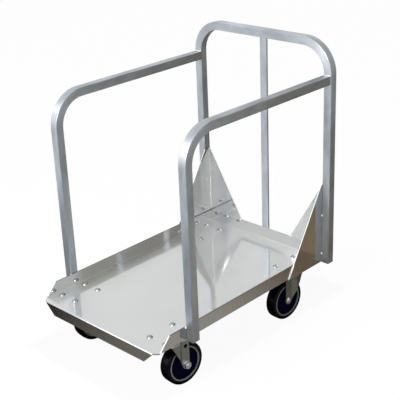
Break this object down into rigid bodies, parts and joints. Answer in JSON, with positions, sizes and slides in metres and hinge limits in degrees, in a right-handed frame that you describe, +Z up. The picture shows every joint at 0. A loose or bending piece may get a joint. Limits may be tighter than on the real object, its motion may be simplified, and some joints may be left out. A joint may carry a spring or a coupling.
{
  "type": "bun pan dolly",
  "caption": "Open-front sheet-metal dolly for stacked bun pans, with upturned rims, bent square-tube side rails, a taller back frame with folded corner gussets, and swivel casters.",
  "frame": {"origin": "on the floor, under the middle of the overall box", "axes": "+Z up, +Y to the back frame, +X to the right of someone at the open front"},
  "size_m": [0.5268, 0.7294, 0.8517],
  "materials": {
    "polished_sheet": "polished",
    "tube": "satin mill finish",
    "zinc_steel": "zinc plated",
    "bright_steel": "bright zinc",
    "tyre": "black rubber",
    "wheel_core": "dark plastic",
    "bearing": "sintered bronze"
  },
  "bodies": {
    "frame": {"deck": "polished_sheet", "left_side_rail": "tube", "right_side_rail": "tube", "back_frame": "tube", "back_post": "tube", "left_corner_gusset": "polished_sheet", "right_corner_gusset": "polished_sheet", "front_left_top_plate": "zinc_steel", "front_left_plate_bolts": "bright_steel", "front_left_plate_nuts": "bright_steel", "front_left_kingpin": "zinc_steel", "front_left_lower_race": "zinc_steel", "front_right_top_plate": "zinc_steel", "front_right_plate_bolts": "bright_steel", "front_right_plate_nuts": "bright_steel", "front_right_kingpin": "zinc_steel", "front_right_lower_race": "zinc_steel", "back_left_top_plate": "zinc_steel", "back_left_plate_bolts": "bright_steel", "back_left_plate_nuts": "bright_steel", "back_left_kingpin": "zinc_steel", "back_left_lower_race": "zinc_steel", "back_right_top_plate": "zinc_steel", "back_right_plate_bolts": "bright_steel", "back_right_plate_nuts": "bright_steel", "back_right_kingpin": "zinc_steel", "back_right_lower_race": "zinc_steel"},
    "front_left_swivel": {"front_left_yoke": "zinc_steel", "front_left_swivel_balls": "bright_steel", "front_left_axle_bolt": "bright_steel", "front_left_axle_nut": "bright_steel", "front_left_axle_spacers": "bright_steel"},
    "front_left_wheel": {"front_left_tyre": "tyre", "front_left_wheel_core": "wheel_core", "front_left_wheel_bearing": "bearing"},
    "front_right_swivel": {"front_right_yoke": "zinc_steel", "front_right_swivel_balls": "bright_steel", "front_right_axle_bolt": "bright_steel", "front_right_axle_nut": "bright_steel", "front_right_axle_spacers": "bright_steel"},
    "front_right_wheel": {"front_right_tyre": "tyre", "front_right_wheel_core": "wheel_core", "front_right_wheel_bearing": "bearing"},
    "back_left_swivel": {"back_left_yoke": "zinc_steel", "back_left_swivel_balls": "bright_steel", "back_left_axle_bolt": "bright_steel", "back_left_axle_nut": "bright_steel", "back_left_axle_spacers": "bright_steel"},
    "back_left_wheel": {"back_left_tyre": "tyre", "back_left_wheel_core": "wheel_core", "back_left_wheel_bearing": "bearing"},
    "back_right_swivel": {"back_right_yoke": "zinc_steel", "back_right_swivel_balls": "bright_steel", "back_right_axle_bolt": "bright_steel", "back_right_axle_nut": "bright_steel", "back_right_axle_spacers": "bright_steel"},
    "back_right_wheel": {"back_right_tyre": "tyre", "back_right_wheel_core": "wheel_core", "back_right_wheel_bearing": "bearing"}
  },
  "joints": [
    {"name": "front_left_swivel_turn", "type": "hinge", "parent": "frame", "child": "front_left_swivel", "pos_m": [-0.1835, -0.2667, 0.1481], "axis": [0, 0, 1], "continuous": true},
    {"name": "front_left_wheel_spin", "type": "hinge", "parent": "front_left_swivel", "child": "front_left_wheel", "pos_m": [-0.18019, -0.22884, 0.0635], "axis": [0.9962, -0.0872, 0], "continuous": true},
    {"name": "front_right_swivel_turn", "type": "hinge", "parent": "frame", "child": "front_right_swivel", "pos_m": [0.1835, -0.2667, 0.1481], "axis": [0, 0, 1], "continuous": true},
    {"name": "front_right_wheel_spin", "type": "hinge", "parent": "front_right_swivel", "child": "front_right_wheel", "pos_m": [0.18681, -0.22884, 0.0635], "axis": [0.9962, -0.0872, 0], "continuous": true},
    {"name": "back_left_swivel_turn", "type": "hinge", "parent": "frame", "child": "back_left_swivel", "pos_m": [-0.1835, 0.2633, 0.1481], "axis": [0, 0, 1], "continuous": true},
    {"name": "back_left_wheel_spin", "type": "hinge", "parent": "back_left_swivel", "child": "back_left_wheel", "pos_m": [-0.18549, 0.22535, 0.0635], "axis": [-0.9986, 0.0523, 0], "continuous": true},
    {"name": "back_right_swivel_turn", "type": "hinge", "parent": "frame", "child": "back_right_swivel", "pos_m": [0.1835, 0.2633, 0.1481], "axis": [0, 0, 1], "continuous": true},
    {"name": "back_right_wheel_spin", "type": "hinge", "parent": "back_right_swivel", "child": "back_right_wheel", "pos_m": [0.18151, 0.22535, 0.0635], "axis": [-0.9986, 0.0523, 0], "continuous": true}
  ]
}
